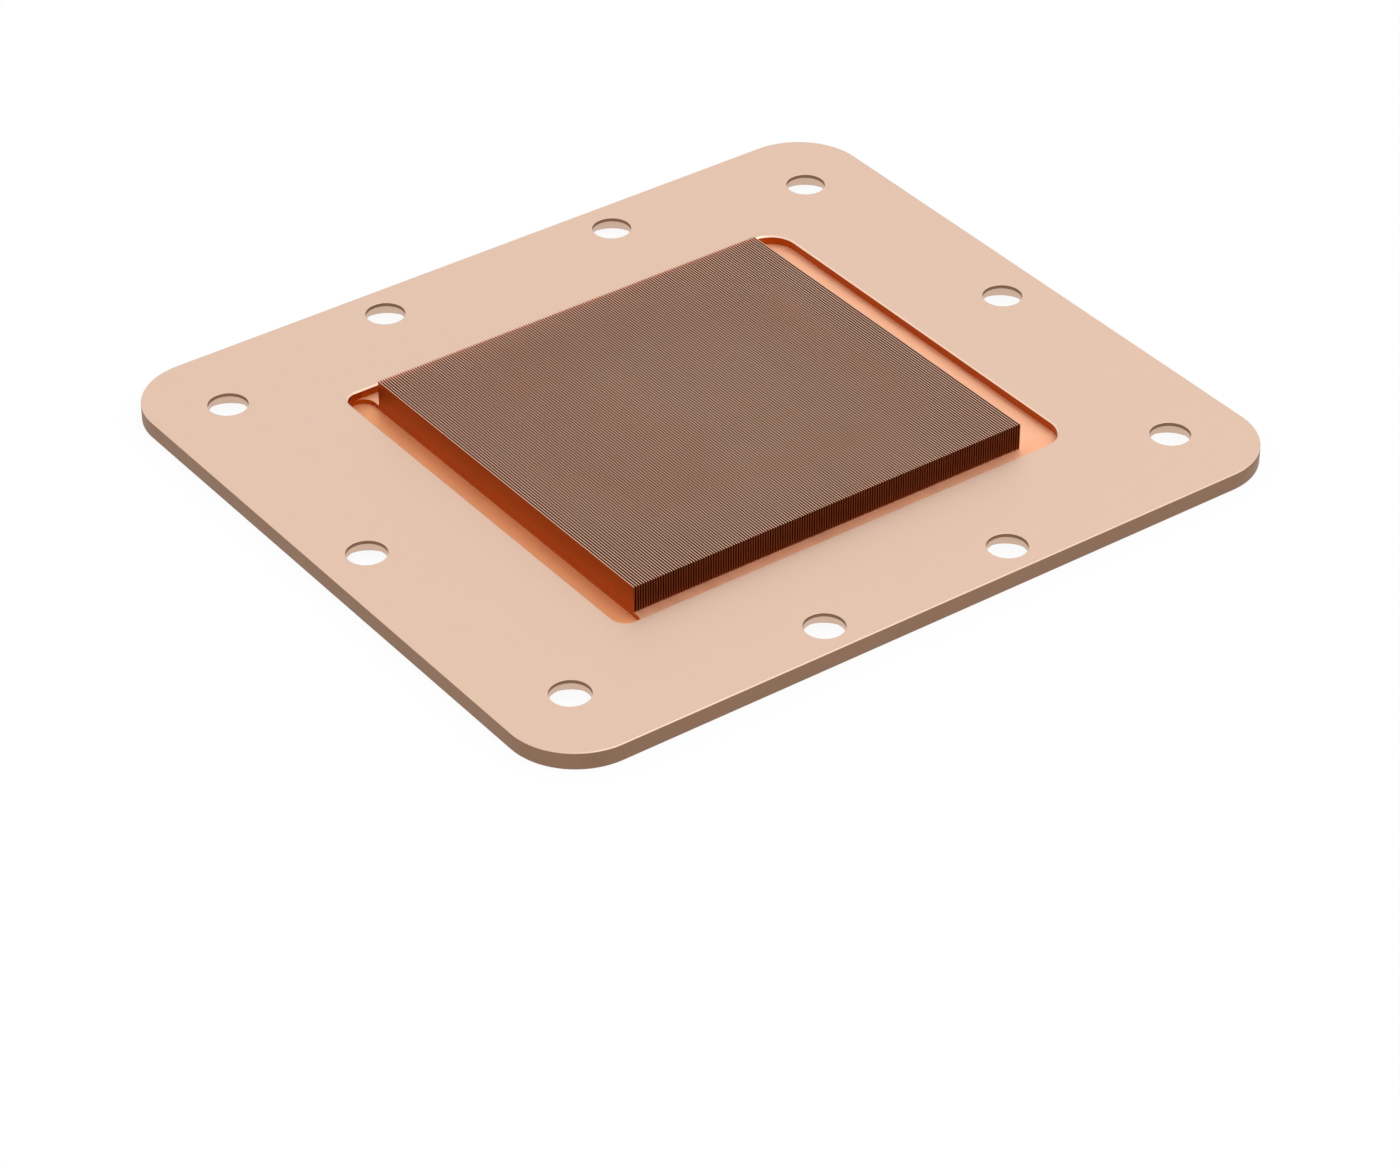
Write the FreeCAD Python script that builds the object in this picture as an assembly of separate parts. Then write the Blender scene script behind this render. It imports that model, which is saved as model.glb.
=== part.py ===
import FreeCAD, Part
import math
import os

# Copper base of a liquid cold plate, made as one piece: a thin flange with through holes, a
# shallow pocket sunk into its top, and a block of fine skived fins that stand on the pocket's
# floor and rise above the flange. Millimetres, +Z up. The origin is the middle of the
# underside, the flat face that lies on the chip. The fins run along Y and repeat along X.

# Flange
FLANGE_X = 60.0
FLANGE_Y = 53.0
FLANGE_T = 1.30
FLANGE_CORNER_R = 5.0
EDGE_BREAK = 0.10

# Fins, cut square, with channels of even width between them
FIN_COUNT = 160
FIN_T = 0.08
CHANNEL_W = 0.12
FIN_LENGTH = 29.9
FIN_HEIGHT = 2.00

# Copper left under the fins, and under the deeper run-out groove beside the first fin
BASE_UNDER_FINS = 0.65
BASE_UNDER_GROOVE = 0.30

# Free strips of pocket floor around the fin block
GROOVE_W = 2.00
STRIP_RIGHT = 3.15
STRIP_END = 1.45
POCKET_RIGHT_R = 2.00

# Through holes: one in each corner, one at each side, two at the front and two at the back.
# Each is opened out from below, to clear the retaining ring of its screw.
HOLE_D = 2.80
RELIEF_D = 4.20
RELIEF_DEPTH = 0.60
CORNER_HOLE_INSET_X = 5.35
CORNER_HOLE_INSET_Y = 6.20
SIDE_HOLE_INSET = 3.40
FRONT_HOLE_INSET = 2.50
FRONT_HOLE_SPACING = 15.0
BACK_HOLE_INSET = 2.85
BACK_HOLE_SPACING = 19.4

# Places that follow from the sizes above
HALF_X = FLANGE_X / 2
HALF_Y = FLANGE_Y / 2
FIN_PITCH = FIN_T + CHANNEL_W
FIN_BLOCK_X = FIN_COUNT * FIN_PITCH - CHANNEL_W
FIN_LEFT = -FIN_BLOCK_X / 2
POCKET_LEFT = FIN_LEFT - GROOVE_W
POCKET_RIGHT = FIN_LEFT + FIN_BLOCK_X + STRIP_RIGHT
POCKET_HALF_Y = FIN_LENGTH / 2 + STRIP_END
GROOVE_R = GROOVE_W / 2


def outline(x0, x1, half_y, left_r, right_r, z):
    """A rounded rectangle, even about the X axis, with a corner radius for each end."""
    corners = [
        (x1 - right_r, half_y - right_r, right_r, 0),
        (x0 + left_r, half_y - left_r, left_r, 90),
        (x0 + left_r, left_r - half_y, left_r, 180),
        (x1 - right_r, right_r - half_y, right_r, 270),
    ]
    arcs = []
    for centre_x, centre_y, radius, start in corners:
        circle = Part.Circle(FreeCAD.Vector(centre_x, centre_y, z), FreeCAD.Vector(0, 0, 1), radius)
        arcs.append(Part.ArcOfCircle(circle, math.radians(start), math.radians(start + 90)))
    edges = []
    for arc, following in zip(arcs, arcs[1:] + arcs[:1]):
        edges.append(arc.toShape())
        if arc.EndPoint.distanceToPoint(following.StartPoint) > Part.Precision.confusion():
            edges.append(Part.makeLine(arc.EndPoint, following.StartPoint))
    return Part.Wire(edges)


def prism(wire, height):
    return Part.Face(wire).extrude(FreeCAD.Vector(0, 0, height))


def flange_blank():
    """The flange's plate with its outer edges broken, before anything is cut into it."""
    blank = prism(outline(-HALF_X, HALF_X, HALF_Y, FLANGE_CORNER_R, FLANGE_CORNER_R, 0), FLANGE_T)
    rims = []
    for face in (f for f in blank.Faces if abs(f.normalAt(0, 0).z) > 0.5):
        rims.extend(face.Edges)
    return blank.makeChamfer(EDGE_BREAK, rims)


def pocket_cutter():
    """The pocket down to its floor, with its rim broken at the flange's top."""
    walls = outline(POCKET_LEFT, POCKET_RIGHT, POCKET_HALF_Y, GROOVE_R, POCKET_RIGHT_R,
                    BASE_UNDER_FINS)
    foot = outline(POCKET_LEFT, POCKET_RIGHT, POCKET_HALF_Y, GROOVE_R, POCKET_RIGHT_R,
                   FLANGE_T - EDGE_BREAK)
    mouth = outline(POCKET_LEFT - EDGE_BREAK, POCKET_RIGHT + EDGE_BREAK,
                    POCKET_HALF_Y + EDGE_BREAK, GROOVE_R + EDGE_BREAK,
                    POCKET_RIGHT_R + EDGE_BREAK, FLANGE_T)
    rim = Part.makeLoft([foot, mouth], True, True)
    return [prism(walls, FLANGE_T - BASE_UNDER_FINS), rim]


def groove_cutter():
    """The run-out groove, as wide as the strip beside the first fin, with full round ends."""
    slot = outline(POCKET_LEFT, FIN_LEFT, POCKET_HALF_Y, GROOVE_R, GROOVE_R, BASE_UNDER_GROOVE)
    return prism(slot, FLANGE_T - BASE_UNDER_GROOVE)


def hole_places():
    corner_x = HALF_X - CORNER_HOLE_INSET_X
    corner_y = HALF_Y - CORNER_HOLE_INSET_Y
    places = [(sx * corner_x, sy * corner_y) for sx in (-1, 1) for sy in (-1, 1)]
    for side in (-1, 1):
        places.append((side * (HALF_X - SIDE_HOLE_INSET), 0))
        places.append((side * FRONT_HOLE_SPACING / 2, FRONT_HOLE_INSET - HALF_Y))
        places.append((side * BACK_HOLE_SPACING / 2, HALF_Y - BACK_HOLE_INSET))
    return places


def hole_cutters():
    """The through holes and the wider relief at the foot of each."""
    cutters = []
    for x, y in hole_places():
        foot = FreeCAD.Vector(x, y, 0)
        cutters.append(Part.makeCylinder(HOLE_D / 2, FLANGE_T, foot))
        cutters.append(Part.makeCylinder(RELIEF_D / 2, RELIEF_DEPTH, foot))
    return cutters


def fins():
    """The row of fins, from the groove's wall to the right-hand strip."""
    row = []
    for index in range(FIN_COUNT):
        corner = FreeCAD.Vector(FIN_LEFT + index * FIN_PITCH, -FIN_LENGTH / 2, BASE_UNDER_FINS)
        row.append(Part.makeBox(FIN_T, FIN_LENGTH, FIN_HEIGHT, corner))
    return row


def cold_plate():
    base = flange_blank().cut(pocket_cutter() + [groove_cutter()] + hole_cutters())
    return base.fuse(fins()).removeSplitter()


os.makedirs("parts", exist_ok=True)
cold_plate().exportStep("parts/cold_plate.step")
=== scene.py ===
"""Looks of a one-piece copper cold plate base, built around its CAD part.

A thin flange with through holes carries a shallow milled pocket. A block of fine skived fins
stands on the pocket's floor. Everything is in metres, in the part's own frame: +Z up, the fins
along Y, the origin in the middle of the underside.
"""

import math

import bmesh
import bpy
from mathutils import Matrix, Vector
from mathutils.geometry import delaunay_2d_cdt


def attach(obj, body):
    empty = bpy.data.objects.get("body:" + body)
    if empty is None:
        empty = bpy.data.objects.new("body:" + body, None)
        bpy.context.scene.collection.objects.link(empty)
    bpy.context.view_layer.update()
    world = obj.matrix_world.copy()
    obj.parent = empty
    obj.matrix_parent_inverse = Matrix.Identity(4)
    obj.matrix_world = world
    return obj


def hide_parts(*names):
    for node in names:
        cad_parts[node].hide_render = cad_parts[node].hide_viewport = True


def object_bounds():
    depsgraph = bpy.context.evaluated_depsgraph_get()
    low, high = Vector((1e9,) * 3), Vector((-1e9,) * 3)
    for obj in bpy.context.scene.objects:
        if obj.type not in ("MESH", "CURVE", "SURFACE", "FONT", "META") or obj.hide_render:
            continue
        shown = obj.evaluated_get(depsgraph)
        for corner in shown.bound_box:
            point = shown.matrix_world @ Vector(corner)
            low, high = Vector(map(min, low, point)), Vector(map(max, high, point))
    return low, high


bl_info = {
    "name": "Copper Cold Plate Base",
    "version": (1, 0, 0),
    "blender": (4, 5, 0),
    "location": "View3D > Sidebar > Cold Plate",
    "description": "Builds a copper flange with a milled pocket and a block of skived fins",
    "category": "Add Mesh",
}

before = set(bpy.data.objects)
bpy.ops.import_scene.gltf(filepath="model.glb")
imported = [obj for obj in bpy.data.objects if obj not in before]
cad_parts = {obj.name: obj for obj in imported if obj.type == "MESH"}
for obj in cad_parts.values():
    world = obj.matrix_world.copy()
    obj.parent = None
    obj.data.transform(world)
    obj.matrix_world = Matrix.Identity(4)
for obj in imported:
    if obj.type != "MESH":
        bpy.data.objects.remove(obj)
CAD_LOW, CAD_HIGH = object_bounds()
NODE = "cold_plate"
MM = 0.001

# Straight pieces that stand for the round ones
OUTER_CORNER_STEPS = 24
POCKET_CORNER_STEPS = 12
HOLE_STEPS = 48
EDGE_STEPS = 4
MOUTH_STEPS = 3

# Edges between curved faces are shaded smooth below this angle
SMOOTH_BELOW = math.radians(32)

# Most values of a noise texture lie between these two
NOISE_LOW, NOISE_HIGH = 0.3, 0.7

# The stage, in metres: floor, softbox and camera
FLOOR_HALF = 4.0
FLOOR_GAP = 0.02 * MM
PAPER_GRAIN = 1.1 * MM
SOFTBOX_SIZE = (0.5, 0.35)
SOFTBOX_PLACE = (0.22, -0.18, 0.66)
CAMERA_PLACE = Vector((-0.16020, -0.21916, 0.18129))
CAMERA_AIM = Vector((0.481, 0.657, -0.581))
CAMERA_REACH = (0.005, 20.0)
SENSOR_MM = 36.0


def linear(code):
    """An sRGB hex colour as linear red, green and blue."""
    channels = (int(code[i:i + 2], 16) / 255 for i in (0, 2, 4))
    return tuple(c / 12.92 if c <= 0.04045 else ((c + 0.055) / 1.055) ** 2.4 for c in channels)


def length(name, millimetres, description):
    """A length setting, with its default given in millimetres."""
    return bpy.props.FloatProperty(name=name, description=description, precision=6, min=0.0,
                                   default=millimetres * MM, unit="LENGTH")


def colour(name, code, description):
    """A colour setting, with its default given as sRGB hex."""
    return bpy.props.FloatVectorProperty(name=name, description=description, size=3, min=0.0,
                                         max=1.0, default=linear(code), subtype="COLOR")


class FlangeSizes(bpy.types.PropertyGroup):
    size_x: length("Width", (CAD_HIGH.x - CAD_LOW.x) / MM, "Flange across the fins")
    size_y: length("Depth", (CAD_HIGH.y - CAD_LOW.y) / MM, "Flange along the fins")
    thickness: length("Thickness", 1.30, "Flange from underside to seal face")
    corner_r: length("Corner radius", 5.0, "Radius of the flange's corners")
    edge_r: length("Edge rounding", 0.09, "Rounding where the outer wall meets a flat face")
    hole_d: length("Hole", 2.80, "Through hole")
    hole_edge_r: length("Hole edge", 0.03, "Rounding at the mouth of a hole")
    # Painted shade: the lead-in is a band of the darker edge colour, standing in for the shade
    # just inside a hole's mouth.
    lead_in_shade: length("Lead-in", 0.25, "Duller band where the reamer entered a hole")
    relief_d: length("Relief", 4.20, "Wider foot of a hole, on the underside")
    relief_depth: length("Relief depth", 0.60, "Height of the wider foot")
    corner_inset_x: length("Corner hole inset X", 5.35, "Corner hole from the side edge")
    corner_inset_y: length("Corner hole inset Y", 6.20, "Corner hole from the front or back edge")
    side_inset: length("Side hole inset", 3.40, "Side hole from its edge")
    front_inset: length("Front hole inset", 2.50, "Front holes from the front edge")
    front_spacing: length("Front hole spacing", 15.0, "Between the two front holes")
    back_inset: length("Back hole inset", 2.85, "Back holes from the back edge")
    back_spacing: length("Back hole spacing", 19.4, "Between the two back holes")


class PocketSizes(bpy.types.PropertyGroup):
    left: length("Left wall", 17.94, "Left wall's distance from the middle")
    right: length("Right wall", 19.09, "Right wall's distance from the middle")
    half_y: length("Half depth", 16.40, "Front and back walls' distance from the middle")
    right_r: length("Right corner radius", 2.00, "Radius of the two right-hand corners")
    floor: length("Floor", 0.65, "Copper left under the pocket")
    rim: length("Rim", 0.10, "Broken edge of the pocket's mouth")
    groove_w: length("Groove", 2.00, "Width of the run-out groove beside the first fin")
    groove_floor: length("Groove floor", 0.30, "Copper left under the groove")


class FinSizes(bpy.types.PropertyGroup):
    count: bpy.props.IntProperty(name="Fins", description="Number of fins", default=160, min=2)
    thickness: length("Fin", 0.08, "Thickness of a fin")
    channel: length("Channel", 0.12, "Gap between two fins")
    fin_length: length("Length", 29.9, "Fin along the flow")
    top: length("Top", CAD_HIGH.z / MM, "Height of the fins' tips above the underside")
    sunk: length("Sunk", 0.02, "How far a fin's foot runs into the pocket's floor")
    foot: length("Foot", 0.06, "Height of the flare at a fin's foot")
    flare: length("Flare", 0.012, "How much a foot is thicker, on each side")
    tip: length("Tip", 0.012, "Edge broken off a fin's tip")
    seed: bpy.props.IntProperty(name="Seed", description="Seed of the small unevenness of the "
                                "fins", default=7)


class Finishes(bpy.types.PropertyGroup):
    ground: colour("Ground face", "E5C5AF", "Ground seal face of the flange")
    # Painted highlight: the pocket rim's colour is lighter than the ground face to brighten its
    # glint.
    burnished: colour("Burnished rim", "FDDAC2", "Broken edge of the pocket's mouth")
    # Painted shade: darkened for the outer wall's dim reflection and for the shade inside a hole's
    # mouth.
    edge: colour("Milled edge", "97765F", "Milled outer edge and the lead-in of a hole")
    bore: colour("Bore", "D9BBA8", "Reamed bore and relief of a hole")
    floor: colour("Milled floor", "FFC6A1", "End-milled pocket floor")
    groove: colour("Groove floor", "FFC08F", "Ball-milled floor of the run-out groove")
    # Painted shade: the pocket wall's deep red stands in for its darkening among other copper.
    wall: colour("Pocket wall", "AE5719", "Side-milled pocket wall")
    # Painted shade: the fins' dark red stands in for the shade on faces deep in the channels and
    # beside the groove.
    skived: colour("Skived face", "B35D13", "Freshly skived face of a fin")
    # Painted shade: the fin ends' dark brown stands in for the shade on the block's front.
    end: colour("Fin end", "864B2C", "Sheared end of a fin")
    tip: colour("Fin tip", "DBAD95", "Ground tip of a fin")
    lapped: colour("Lapped face", "E0B79C", "Lapped underside")


class StudioSettings(bpy.types.PropertyGroup):
    sky: bpy.props.FloatProperty(name="Sky", description="Strength of the white surround",
                                 default=0.98, min=0.0)
    key: bpy.props.FloatProperty(name="Softbox", description="Power of the softbox",
                                 default=0.9, min=0.0, unit="POWER")
    floor_glow: bpy.props.FloatProperty(name="Floor white", description="Share of plain white "
                                        "in the floor as the camera sees it", default=0.93,
                                        min=0.0, max=1.0, subtype="FACTOR")
    lens: bpy.props.FloatProperty(name="Lens", description="Focal length on a sensor 36 mm wide",
                                  default=123.7, min=1.0, unit="CAMERA")


def add(tree, kind, inputs=None, **settings):
    """Adds a node. Each input is a value, or an output socket that is linked to it."""
    made = tree.nodes.new(kind)
    for name, value in settings.items():
        setattr(made, name, value)
    for name, value in (inputs or {}).items():
        if isinstance(value, bpy.types.NodeSocket):
            tree.links.new(value, made.inputs[name])
        else:
            made.inputs[name].default_value = value
    return made


def copper(name, base, second, roughness, grain, bump, matt_beyond=None, cloud=9.0):
    """A copper finish. Grain is the tool marks' spacing in mm along X, Y and Z, drawn several
    times coarser than the real marks, which are too fine to show. Second is the colour that
    clouds of the given size in mm turn to, and bump the marks' depth in mm. Beyond the given
    mm along Y, if any, the surface is more matt."""
    material = bpy.data.materials.new(name)
    material.use_nodes = True
    tree = material.node_tree
    tree.nodes.clear()
    place = add(tree, "ShaderNodeTexCoord").outputs["Object"]
    in_mm = add(tree, "ShaderNodeMapping", {"Vector": place, "Scale": (1 / MM,) * 3})
    marks = add(tree, "ShaderNodeMapping", {
        "Vector": place, "Scale": tuple(1 / (size * MM) for size in grain)})
    clouds = add(tree, "ShaderNodeTexNoise", {
        "Vector": in_mm.outputs["Vector"], "Scale": 1 / cloud, "Detail": 3.0,
        "Roughness": 0.6}, noise_dimensions="3D")
    lines = add(tree, "ShaderNodeTexNoise", {
        "Vector": marks.outputs["Vector"], "Scale": 1.0, "Detail": 2.0, "Roughness": 0.55})
    share = add(tree, "ShaderNodeMapRange", {
        "Value": clouds.outputs["Fac"], "From Min": 0.35, "From Max": 0.68})
    tint = add(tree, "ShaderNodeMix", {
        "Factor": share.outputs["Result"], "A": (*base, 1.0), "B": (*second, 1.0)},
        data_type="RGBA")
    fine = add(tree, "ShaderNodeMapRange", {
        "Value": lines.outputs["Fac"], "From Min": NOISE_LOW, "From Max": NOISE_HIGH,
        "To Min": 0.98, "To Max": 1.015})
    shade = add(tree, "ShaderNodeVectorMath", {
        0: tint.outputs["Result"], "Scale": fine.outputs["Result"]}, operation="SCALE")
    gloss = add(tree, "ShaderNodeMapRange", {
        "Value": lines.outputs["Fac"], "From Min": NOISE_LOW, "From Max": NOISE_HIGH,
        "To Min": roughness - 0.04, "To Max": roughness + 0.05})
    if matt_beyond:
        spot = add(tree, "ShaderNodeSeparateXYZ", {"Vector": in_mm.outputs["Vector"]})
        along = add(tree, "ShaderNodeMath", {0: spot.outputs["Y"]}, operation="ABSOLUTE")
        more = add(tree, "ShaderNodeMapRange", {
            "Value": along.outputs["Value"], "From Min": matt_beyond - 0.4,
            "From Max": matt_beyond + 0.1, "To Max": 0.12})
        gloss = add(tree, "ShaderNodeMath", {
            0: gloss.outputs["Result"], 1: more.outputs["Result"]}, operation="ADD")
    relief = add(tree, "ShaderNodeBump", {
        "Height": lines.outputs["Fac"], "Distance": bump * MM, "Strength": 0.5})
    shader = add(tree, "ShaderNodeBsdfPrincipled", {
        "Base Color": shade.outputs["Vector"], "Metallic": 1.0,
        "Roughness": gloss.outputs[0], "Normal": relief.outputs["Normal"]})
    add(tree, "ShaderNodeOutputMaterial", {"Surface": shader.outputs["BSDF"]})
    return material


def toned(base, factor):
    """A colour made lighter or darker, channel by channel."""
    return tuple(min(1.0, c * f) for c, f in zip(base, factor))


def finished(context):
    """The copper finishes by role, each made once."""
    colours = context.scene.cold_plate_finishes
    makers = {
        # Surface-ground seal face: satin, even, with faint lengthwise grit marks.
        "ground": ("ground_copper", colours.ground, (0.985, 1.0, 1.02), 0.42,
                   (0.9, 0.12, 0.9), 0.001),
        # Pocket rim: the broken edge of the pocket's mouth catches the light, and its colour is
        # set lighter than the ground face as a painted highlight.
        "burnished": ("burnished_copper_rim", colours.burnished, (0.98, 0.97, 0.96), 0.36,
                      (0.5, 0.5, 0.5), 0.001),
        # Milled outer edge and a hole's lead-in: duller, with upright cutter marks; browner and
        # darker as painted shade, standing in for the dim reflection the outer wall catches from
        # below the horizon and for the shade just inside a hole's mouth.
        "edge": ("milled_copper_edge", colours.edge, (0.93, 0.93, 0.93), 0.50,
                 (0.25, 0.25, 2.0), 0.004),
        # Reamed bore: smooth and pale, with rings round it.
        "bore": ("reamed_copper_bore", colours.bore, (0.96, 0.95, 0.94), 0.35,
                 (2.0, 2.0, 0.06), 0.002),
        # End-milled floor: clean bright copper with lengthwise passes, matt where they turn.
        "floor": ("end_milled_copper", colours.floor, (0.97, 0.95, 0.93), 0.52,
                  (0.18, 3.0, 0.18), 0.001, 14.9),
        # Groove's floor: the same copper, duller where the cutter's nose rubbed.
        "groove": ("ball_milled_copper", colours.groove, (0.97, 0.95, 0.93), 0.64,
                   (0.18, 3.0, 0.18), 0.001),
        # Side-milled pocket wall: painted shade, a deep red standing in for the darkening of a
        # wall that only sees other copper.
        "wall": ("side_milled_copper", colours.wall, (0.94, 0.90, 0.88), 0.36,
                 (0.3, 0.3, 0.08), 0.002),
        # Skived fin: a dark red as painted shade, standing in for the shade on fin faces deep in
        # their channels and beside the groove; faintly streaked from foot to tip.
        "skived": ("skived_copper", colours.skived, (0.92, 0.88, 0.85), 0.38,
                   (0.20, 0.35, 1.2), 0.002),
        # Fin ends: sheared off square; a dark brown as painted shade, standing in for the shade on
        # the block's front, a little paler than the skived faces.
        "end": ("sheared_copper_fin_ends", colours.end, (0.94, 0.92, 0.90), 0.53,
                (0.5, 0.5, 0.6), 0.001),
        # Fin tips: levelled with a fine stone; paler than their sides, which carry painted shade.
        "tip": ("stoned_copper_tips", colours.tip, (0.97, 0.96, 0.95), 0.40,
                (0.3, 0.6, 0.3), 0.001),
        # Lapped underside: flattest face of the part, with short crossing marks.
        "lapped": ("lapped_copper", colours.lapped, (0.98, 0.97, 0.96), 0.28,
                   (0.35, 0.35, 0.35), 0.001),
    }
    ready = {}
    for role, (name, base, tone, *rest) in makers.items():
        old = bpy.data.materials.get(name)
        ready[role] = old or copper(name, tuple(base), toned(base, tone), *rest)
    return ready


def arc(centre, radius, start, steps):
    """Points of a quarter circle about a corner's centre, in degrees from start."""
    points = []
    for step in range(steps + 1):
        angle = math.radians(start + 90 * step / steps)
        points.append((centre[0] + radius * math.cos(angle),
                       centre[1] + radius * math.sin(angle)))
    return points


def rounded(x0, x1, half_y, left_r, right_r, grow, steps):
    """The corner arcs of a rounded rectangle grown outwards, from right back to right front."""
    centres = [(x1 - right_r, half_y - right_r), (x0 + left_r, half_y - left_r),
               (x0 + left_r, left_r - half_y), (x1 - right_r, right_r - half_y)]
    radii = (right_r, left_r, left_r, right_r)
    return [arc(centre, radius + grow, 90 * i, steps)
            for i, (centre, radius) in enumerate(zip(centres, radii))]


def circle(x, y, radius):
    turns = [math.tau * i / HOLE_STEPS for i in range(HOLE_STEPS)]
    return [(x + radius * math.cos(turn), y + radius * math.sin(turn)) for turn in turns]


def ring(mesh, points, z):
    return [mesh.verts.new((x, y, z)) for x, y in points]


def band(mesh, low, high, material, closed=True):
    """Joins two rings of the same number of points with a band of faces."""
    count = len(low) if closed else len(low) - 1
    for i in range(count):
        j = (i + 1) % len(low)
        face = mesh.faces.new((low[i], low[j], high[j], high[i]))
        face.material_index = material
        face.smooth = True


def enclosed(x, y, rings):
    """True where a point lies inside an odd number of rings."""
    inside = False
    for loop in rings:
        for a, b in zip(loop, loop[1:] + loop[:1]):
            (ax, ay), (bx, by) = a.co.xy, b.co.xy
            if (ay > y) != (by > y) and x < ax + (bx - ax) * (y - ay) / (by - ay):
                inside = not inside
    return inside


def flat(mesh, rings, material):
    """Fills the flat face that lies between an outer ring and the rings inside it."""
    corners, sides = sum(rings, []), []
    for loop in rings:
        first = len(sides)
        sides += [(first + i, first + (i + 1) % len(loop)) for i in range(len(loop))]
    spots = [vertex.co.xy / MM for vertex in corners]
    all_triangles, same_spot = 0, 1e-7
    filled = delaunay_2d_cdt(spots, sides, [], all_triangles, same_spot, True)
    triangles, origins = filled[2], filled[3]
    for triangle in triangles:
        trio = [corners[origins[i][0]] for i in triangle]
        middle = sum((vertex.co for vertex in trio), Vector()) / 3
        if enclosed(middle.x, middle.y, rings):
            face = mesh.faces.new(trio)
            face.material_index = material
            face.smooth = False


def quarter(radius, steps):
    """Pairs of how far in and how far up a rounded edge runs, from its wall to its flat face."""
    turns = [math.radians(90 * step / steps) for step in range(steps + 1)]
    return [(radius * (1 - math.cos(turn)), radius * math.sin(turn)) for turn in turns]


def hole_places(sizes):
    half_x, half_y = sizes.size_x / 2, sizes.size_y / 2
    places = [(sx * (half_x - sizes.corner_inset_x), sy * (half_y - sizes.corner_inset_y))
              for sx in (-1, 1) for sy in (-1, 1)]
    for side in (-1, 1):
        places.append((side * (half_x - sizes.side_inset), 0.0))
        places.append((side * sizes.front_spacing / 2, sizes.front_inset - half_y))
        places.append((side * sizes.back_spacing / 2, half_y - sizes.back_inset))
    return places


FLANGE_ROLES = ("ground", "burnished", "edge", "bore", "floor", "groove", "wall", "skived",
                "lapped")
GROUND, RIM_HIGHLIGHT, SHADED_EDGE, BORE, FLOOR, GROOVE, SHADED_WALL, SHADED_FIN_SIDE, LAPPED = range(len(FLANGE_ROLES))


def outer_wall(mesh, sizes):
    """The outer wall with both its edges rounded. Gives its lowest and highest ring."""
    half_x, half_y, top = sizes.size_x / 2, sizes.size_y / 2, sizes.thickness
    edge = quarter(sizes.edge_r, EDGE_STEPS)
    levels = [(-inward, sizes.edge_r - up) for inward, up in reversed(edge)]
    levels += [(-inward, top - sizes.edge_r + up) for inward, up in edge]
    rings = []
    for grow, z in levels:
        corners = rounded(-half_x, half_x, half_y, sizes.corner_r, sizes.corner_r, grow,
                          OUTER_CORNER_STEPS)
        rings.append(ring(mesh, sum(corners, []), z))
    for i, (low, high) in enumerate(zip(rings, rings[1:])):
        # The lower rounding and the wall take the darker edge colour, painted shade; the top
        # rounding takes the ground face's.
        band(mesh, low, high, SHADED_EDGE if i < len(edge) + 1 else GROUND)
    return rings[0], rings[-1]


def hole(mesh, sizes, x, y):
    """One through hole with its wider foot. Gives its lowest and highest ring."""
    bore, foot, top = sizes.hole_d / 2, sizes.relief_d / 2, sizes.thickness
    mouth = quarter(sizes.hole_edge_r, MOUTH_STEPS)
    levels = [(foot + inward, sizes.hole_edge_r - up) for inward, up in reversed(mouth)]
    levels += [(foot, sizes.relief_depth), (bore, sizes.relief_depth)]
    levels += [(bore, top - sizes.hole_edge_r - sizes.lead_in_shade)]
    levels += [(bore + inward, top - sizes.hole_edge_r + up) for inward, up in mouth]
    rings = [ring(mesh, circle(x, y, radius), z) for radius, z in levels]
    # A band under the mouth takes the darker edge colour, painted shade.
    finishes = [BORE] * (len(mouth) + 2) + [SHADED_EDGE] + [GROUND] * (len(mouth) - 1)
    for low, high, finish in zip(rings, rings[1:], finishes):
        band(mesh, low, high, finish)
    return rings[0], rings[-1]


def pocket(mesh, top, p):
    """The pocket p and its deeper groove, sunk from the top. Gives the ring at its mouth."""
    steps, groove_r = POCKET_CORNER_STEPS, p.groove_w / 2
    shape = (-p.left, p.right, p.half_y, groove_r, p.right_r)
    walls = sum(rounded(*shape, 0.0, steps), [])
    at_floor = ring(mesh, walls, p.floor)
    foot = ring(mesh, walls, top - p.rim)
    mouth = ring(mesh, sum(rounded(*shape, p.rim, steps), []), top)
    # The walls take the deep red pocket-wall colour, painted shade.
    band(mesh, at_floor, foot, SHADED_WALL)
    # The rim's chamfer takes the lighter rim colour, a painted highlight.
    band(mesh, foot, mouth, RIM_HIGHLIGHT)

    # The two left corners go on down to the groove's floor. The groove's right-hand wall
    # closes the slot between them, and it is cut with the first fin.
    count = steps + 1
    left = at_floor[count:3 * count]
    slot = rounded(-p.left, p.groove_w - p.left, p.half_y, groove_r, groove_r, 0.0, steps)
    inner = (slot[3] + slot[0])[1:-1]
    lip = [left[-1]] + ring(mesh, inner, p.floor) + [left[0]]
    low_left = ring(mesh, [v.co.xy for v in left], p.groove_floor)
    low_lip = [low_left[-1]] + ring(mesh, inner, p.groove_floor) + [low_left[0]]
    # The groove's left wall takes the pocket wall's painted shade.
    band(mesh, low_left, left, SHADED_WALL, closed=False)
    # The groove's right-hand wall takes the fin side's painted shade.
    band(mesh, low_lip, lip, SHADED_FIN_SIDE, closed=False)
    flat(mesh, [low_left + low_lip[1:-1]], GROOVE)
    right = at_floor[3 * count:] + at_floor[:count]
    flat(mesh, [right + list(reversed(lip))], FLOOR)
    return mouth


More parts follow.
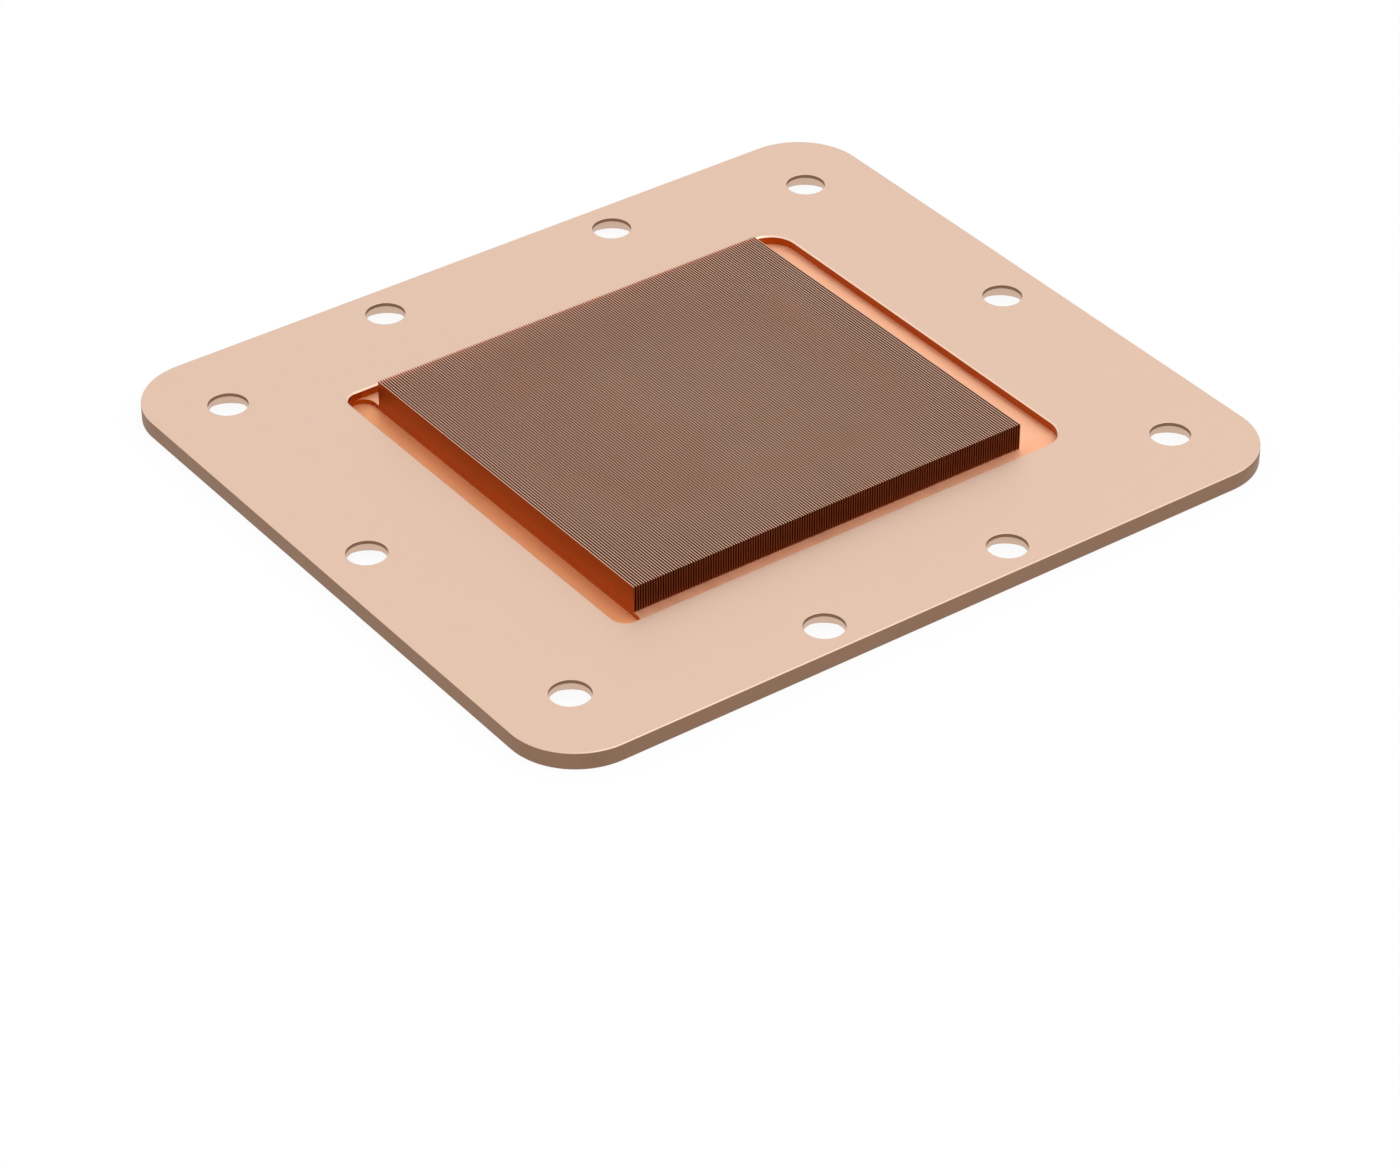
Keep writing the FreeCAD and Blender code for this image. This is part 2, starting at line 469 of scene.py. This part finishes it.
def shaped(name, mesh, materials):
    """Turns a bmesh into a closed piece in the scene, with the given materials."""
    data = bpy.data.meshes.new(name)
    bmesh.ops.recalc_face_normals(mesh, faces=mesh.faces)
    loose = [e for e in mesh.edges if len(e.link_faces) != 2]
    if loose:
        raise RuntimeError(f"{name} isn't closed: {len(loose)} edges lack a face")
    for edge in mesh.edges:
        curved = all(face.smooth for face in edge.link_faces)
        edge.smooth = curved and edge.calc_face_angle() < SMOOTH_BELOW
    mesh.to_mesh(data)
    mesh.free()
    for material in materials:
        data.materials.append(material)
    piece = bpy.data.objects.new(name, data)
    bpy.context.scene.collection.objects.link(piece)
    return piece


def join_to_part(piece):
    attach(piece, "root")
    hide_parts(NODE)


class COLDPLATE_OT_add_flange(bpy.types.Operator):
    """Build the flange with its rounded edges, holes, pocket and run-out groove"""

    bl_idname = "coldplate.add_flange"
    bl_label = "Add Flange"

    def execute(self, context):
        sizes = context.scene.cold_plate_flange
        mesh = bmesh.new()
        low, high = outer_wall(mesh, sizes)
        under, over = [low], [high]
        for x, y in hole_places(sizes):
            low, high = hole(mesh, sizes, x, y)
            under.append(low)
            over.append(high)
        over.append(pocket(mesh, sizes.thickness, context.scene.cold_plate_pocket))
        flat(mesh, under, LAPPED)
        flat(mesh, over, GROUND)
        finishes = finished(context)
        piece = shaped("copper_flange", mesh, [finishes[role] for role in FLANGE_ROLES])
        join_to_part(piece)
        return {"FINISHED"}


def fin_tree():
    """The node tree that makes one fin and repeats it across the block."""
    tree = bpy.data.node_groups.new("skived_fin_row", "GeometryNodeTree")
    for name, kind in (("Geometry", "NodeSocketGeometry"), ("Count", "NodeSocketInt"),
                       ("Pitch", "NodeSocketFloat"), ("Thickness", "NodeSocketFloat"),
                       ("Length", "NodeSocketFloat"), ("Foot Height", "NodeSocketFloat"),
                       ("Tip Height", "NodeSocketFloat"), ("Foot Share", "NodeSocketFloat"),
                       ("Flare Share", "NodeSocketFloat"), ("Tip Share", "NodeSocketFloat"),
                       ("Break Share", "NodeSocketFloat"), ("Seed", "NodeSocketInt"),
                       ("Side Finish", "NodeSocketMaterial"),
                       ("End Finish", "NodeSocketMaterial"),
                       ("Tip Finish", "NodeSocketMaterial")):
        tree.interface.new_socket(name=name, in_out="INPUT", socket_type=kind)
    tree.interface.new_socket(name="Geometry", in_out="OUTPUT", socket_type="NodeSocketGeometry")
    given = add(tree, "NodeGroupInput").outputs
    height = add(tree, "ShaderNodeMath", {0: given["Tip Height"], 1: given["Foot Height"]},
                 operation="SUBTRACT").outputs["Value"]
    size = add(tree, "ShaderNodeCombineXYZ", {"Z": 1.0, "X": given["Thickness"],
                                              "Y": given["Length"]})
    blank = add(tree, "GeometryNodeMeshCube", {"Size": size.outputs["Vector"], "Vertices X": 2,
                                               "Vertices Y": 2, "Vertices Z": 4})

    # The blank is 1 high, in three equal tiers. They become the foot, the side and the tip.
    low_tier, high_tier = 1 / 3, 2 / 3
    spot = add(tree, "ShaderNodeSeparateXYZ", {
        "Vector": add(tree, "GeometryNodeInputPosition").outputs["Position"]}).outputs
    rise = add(tree, "ShaderNodeMath", {0: spot["Z"], 1: 0.5}, operation="ADD").outputs["Value"]
    foot = add(tree, "ShaderNodeMapRange", {
        "Value": rise, "From Min": 0.0, "From Max": low_tier, "To Min": 0.0,
        "To Max": given["Foot Share"]}).outputs["Result"]
    side_share = add(tree, "ShaderNodeMath", {0: 1.0, 1: given["Foot Share"]},
                     operation="SUBTRACT").outputs["Value"]
    side_share = add(tree, "ShaderNodeMath", {0: side_share, 1: given["Tip Share"]},
                     operation="SUBTRACT").outputs["Value"]
    side = add(tree, "ShaderNodeMapRange", {
        "Value": rise, "From Min": low_tier, "From Max": high_tier, "To Min": 0.0,
        "To Max": side_share}).outputs["Result"]
    tip = add(tree, "ShaderNodeMapRange", {
        "Value": rise, "From Min": high_tier, "From Max": 1.0, "To Min": 0.0,
        "To Max": given["Tip Share"]}).outputs["Result"]
    level = add(tree, "ShaderNodeMath", {0: foot, 1: side}, operation="ADD").outputs["Value"]
    level = add(tree, "ShaderNodeMath", {0: level, 1: tip}, operation="ADD").outputs["Value"]
    level = add(tree, "ShaderNodeMath", {0: level, 1: height},
                operation="MULTIPLY").outputs["Value"]
    flare = add(tree, "ShaderNodeMapRange", {
        "Value": rise, "From Min": 0.0, "From Max": low_tier, "To Min": given["Flare Share"],
        "To Max": 0.0}).outputs["Result"]
    broken = add(tree, "ShaderNodeMapRange", {
        "Value": rise, "From Min": high_tier, "From Max": 1.0, "To Min": 1.0,
        "To Max": given["Break Share"]}).outputs["Result"]
    width = add(tree, "ShaderNodeMath", {0: flare, 1: broken}, operation="ADD").outputs["Value"]
    across = add(tree, "ShaderNodeMath", {0: spot["X"], 1: width},
                 operation="MULTIPLY").outputs["Value"]
    moved = add(tree, "ShaderNodeCombineXYZ", {"X": across, "Y": spot["Y"], "Z": level})
    fin = add(tree, "GeometryNodeSetPosition", {
        "Geometry": blank.outputs["Mesh"], "Position": moved.outputs["Vector"]})

    # The row is centred on the part. Each fin differs a little from its neighbours.
    gaps = add(tree, "ShaderNodeMath", {0: given["Count"], 1: 1.0},
               operation="SUBTRACT").outputs["Value"]
    first = add(tree, "ShaderNodeMath", {0: gaps, 1: given["Pitch"]},
                operation="MULTIPLY").outputs["Value"]
    first = add(tree, "ShaderNodeMath", {0: first, 1: -0.5}, operation="MULTIPLY").outputs["Value"]
    start = add(tree, "ShaderNodeCombineXYZ", {"X": first, "Z": given["Foot Height"]})
    step = add(tree, "ShaderNodeCombineXYZ", {"X": given["Pitch"]})
    row = add(tree, "GeometryNodeMeshLine", {
        "Count": given["Count"], "Start Location": start.outputs["Vector"],
        "Offset": step.outputs["Vector"]})
    uneven = add(tree, "FunctionNodeRandomValue", {
        "Seed": given["Seed"], 0: (1.0, 0.9992, 0.9965), 1: (1.0, 1.0, 1.0)},
        data_type="FLOAT_VECTOR")
    fins = add(tree, "GeometryNodeInstanceOnPoints", {
        "Points": row.outputs["Mesh"], "Instance": fin.outputs["Geometry"],
        "Scale": uneven.outputs[0]})
    solid = add(tree, "GeometryNodeRealizeInstances", {"Geometry": fins.outputs["Instances"]})
    # Every face starts with the fin side's dark red, painted shade; ends and tips are then set
    # apart.
    sides = add(tree, "GeometryNodeSetMaterial", {
        "Geometry": solid.outputs["Geometry"], "Material": given["Side Finish"]})
    facing = add(tree, "ShaderNodeSeparateXYZ", {
        "Vector": add(tree, "GeometryNodeInputNormal").outputs["Normal"]}).outputs
    along = add(tree, "ShaderNodeMath", {0: facing["Y"]}, operation="ABSOLUTE").outputs["Value"]
    out = add(tree, "FunctionNodeCompare", {0: along, 1: 0.7}, operation="GREATER_THAN")
    # The ends take the dark fin-end colour, painted shade.
    ends = add(tree, "GeometryNodeSetMaterial", {
        "Geometry": sides.outputs["Geometry"], "Selection": out.outputs["Result"],
        "Material": given["End Finish"]})
    up = add(tree, "FunctionNodeCompare", {0: facing["Z"], 1: 0.4}, operation="GREATER_THAN")
    tips = add(tree, "GeometryNodeSetMaterial", {
        "Geometry": ends.outputs["Geometry"], "Selection": up.outputs["Result"],
        "Material": given["Tip Finish"]})
    add(tree, "NodeGroupOutput", {"Geometry": tips.outputs["Geometry"]})
    return tree


class COLDPLATE_OT_add_fins(bpy.types.Operator):
    """Build the block of skived fins on the pocket's floor"""

    bl_idname = "coldplate.add_fins"
    bl_label = "Add Fins"

    def execute(self, context):
        sizes = context.scene.cold_plate_fins
        finishes = finished(context)
        foot = context.scene.cold_plate_pocket.floor - sizes.sunk
        height = sizes.top - foot
        values = {
            "Count": sizes.count, "Pitch": sizes.thickness + sizes.channel,
            "Thickness": sizes.thickness, "Length": sizes.fin_length, "Foot Height": foot,
            "Tip Height": sizes.top, "Foot Share": (sizes.foot + sizes.sunk) / height,
            "Flare Share": 2 * sizes.flare / sizes.thickness, "Tip Share": sizes.tip / height,
            "Break Share": 1 - 2 * sizes.tip / sizes.thickness, "Seed": sizes.seed,
            "Side Finish": finishes["skived"], "End Finish": finishes["end"],
            "Tip Finish": finishes["tip"],
        }
        maker = bpy.data.objects.new("fin_maker", bpy.data.meshes.new("fin_maker"))
        context.scene.collection.objects.link(maker)
        modifier = maker.modifiers.new("fins", "NODES")
        modifier.node_group = fin_tree()
        for item in modifier.node_group.interface.items_tree:
            if item.in_out == "INPUT" and item.name in values:
                modifier[item.identifier] = values[item.name]
        graph = context.evaluated_depsgraph_get()
        data = bpy.data.meshes.new_from_object(
            maker.evaluated_get(graph), preserve_all_data_layers=True, depsgraph=graph)
        bpy.data.objects.remove(maker)
        if len(data.polygons) < sizes.count:
            raise RuntimeError("the row of fins came out empty")
        while None in list(data.materials):
            data.materials.pop(index=list(data.materials).index(None))
        data.name = "skived_fins"
        data.shade_flat()
        piece = bpy.data.objects.new("skived_fins", data)
        context.scene.collection.objects.link(piece)
        join_to_part(piece)
        return {"FINISHED"}


def seen(tree):
    """1 where a ray comes from the camera, or by reflection or through glass."""
    path = add(tree, "ShaderNodeLightPath").outputs
    either = add(tree, "ShaderNodeMath", {0: path["Is Camera Ray"], 1: path["Is Glossy Ray"]},
                 operation="MAXIMUM").outputs["Value"]
    return add(tree, "ShaderNodeMath", {0: either, 1: path["Is Transmission Ray"]},
               operation="MAXIMUM").outputs["Value"]


def studio_floor_finish(glow):
    """Matt white paper: mostly plain white, with a part that still takes the shadow."""
    material = bpy.data.materials.new("matt_white_paper")
    material.use_nodes = True
    tree = material.node_tree
    tree.nodes.clear()
    grain = add(tree, "ShaderNodeTexNoise", {
        "Vector": add(tree, "ShaderNodeTexCoord").outputs["Object"], "Scale": 1 / PAPER_GRAIN,
        "Detail": 2.0})
    tone = add(tree, "ShaderNodeMapRange", {"Value": grain.outputs["Fac"], "To Min": 0.93,
                                            "To Max": 0.95})
    paper = add(tree, "ShaderNodeBsdfDiffuse", {"Color": tone.outputs["Result"]})
    white = add(tree, "ShaderNodeEmission", {"Color": (1.0, 1.0, 1.0, 1.0), "Strength": 1.0})
    share = add(tree, "ShaderNodeMath", {0: seen(tree), 1: glow}, operation="MULTIPLY")
    mixed = add(tree, "ShaderNodeMixShader", {
        0: share.outputs["Value"], 1: paper.outputs["BSDF"], 2: white.outputs["Emission"]})
    add(tree, "ShaderNodeOutputMaterial", {"Surface": mixed.outputs["Shader"]})
    return material


def studio_world(strength):
    """An even white surround, a shade dimmer where it only lights the floor."""
    world = bpy.data.worlds.new("studio")
    world.use_nodes = True
    tree = world.node_tree
    tree.nodes.clear()
    level = add(tree, "ShaderNodeMapRange", {
        "Value": seen(tree), "To Min": strength, "To Max": 1.0})
    sky = add(tree, "ShaderNodeBackground", {
        "Color": (1.0, 1.0, 1.0, 1.0), "Strength": level.outputs["Result"]})
    add(tree, "ShaderNodeOutputWorld", {"Surface": sky.outputs["Background"]})
    return world


def aimed(holder, data, location, target):
    """Places a lamp or camera and turns it to its target."""
    thing = bpy.data.objects.new(holder, data)
    thing.location = location
    thing.rotation_mode = "QUATERNION"
    thing.rotation_quaternion = (Vector(target) - Vector(location)).to_track_quat("-Z", "Y")
    bpy.context.scene.collection.objects.link(thing)
    return thing


class COLDPLATE_OT_set_stage(bpy.types.Operator):
    """Lay the pale floor, light it softly and place the camera"""

    bl_idname = "coldplate.set_stage"
    bl_label = "Set Stage"

    def execute(self, context):
        scene, studio = context.scene, context.scene.cold_plate_studio
        mesh = bmesh.new()
        bmesh.ops.create_grid(mesh, x_segments=1, y_segments=1, size=FLOOR_HALF)
        data = bpy.data.meshes.new("floor")
        mesh.to_mesh(data)
        mesh.free()
        data.materials.append(studio_floor_finish(studio.floor_glow))
        floor = bpy.data.objects.new("floor", data)
        floor.location.z = CAD_LOW.z - FLOOR_GAP
        scene.collection.objects.link(floor)

        scene.world = studio_world(studio.sky)
        softbox = bpy.data.lights.new("softbox", "AREA")
        softbox.shape = "RECTANGLE"
        softbox.size, softbox.size_y = SOFTBOX_SIZE
        softbox.energy = studio.key
        aimed("softbox", softbox, SOFTBOX_PLACE, (0.0, 0.0, 0.0))

        lens = bpy.data.cameras.new("camera")
        lens.sensor_fit = "HORIZONTAL"
        lens.sensor_width = SENSOR_MM
        lens.lens = studio.lens
        lens.clip_start, lens.clip_end = CAMERA_REACH
        scene.camera = aimed("camera", lens, CAMERA_PLACE, CAMERA_PLACE + CAMERA_AIM)
        scene.view_settings.view_transform = "Standard"
        return {"FINISHED"}


OPERATORS = (COLDPLATE_OT_add_flange, COLDPLATE_OT_add_fins, COLDPLATE_OT_set_stage)
GROUPS = {"cold_plate_flange": FlangeSizes, "cold_plate_pocket": PocketSizes,
          "cold_plate_fins": FinSizes, "cold_plate_finishes": Finishes,
          "cold_plate_studio": StudioSettings}


class COLDPLATE_PT_panel(bpy.types.Panel):
    bl_label = "Cold Plate"
    bl_idname = "COLDPLATE_PT_panel"
    bl_space_type = "VIEW_3D"
    bl_region_type = "UI"
    bl_category = "Cold Plate"

    def draw(self, context):
        for operator in OPERATORS:
            self.layout.operator(operator.bl_idname)
        for name, group in GROUPS.items():
            box = self.layout.box()
            for setting in group.__annotations__:
                box.prop(getattr(context.scene, name), setting)


CLASSES = (*GROUPS.values(), *OPERATORS, COLDPLATE_PT_panel)


def register():
    for kind in CLASSES:
        bpy.utils.register_class(kind)
    for name, group in GROUPS.items():
        setattr(bpy.types.Scene, name, bpy.props.PointerProperty(type=group))


def unregister():
    for name in GROUPS:
        delattr(bpy.types.Scene, name)
    for kind in reversed(CLASSES):
        bpy.utils.unregister_class(kind)


def main():
    register()
    bpy.ops.coldplate.add_flange()
    bpy.ops.coldplate.add_fins()
    bpy.ops.coldplate.set_stage()


if __name__ == "__main__":
    main()
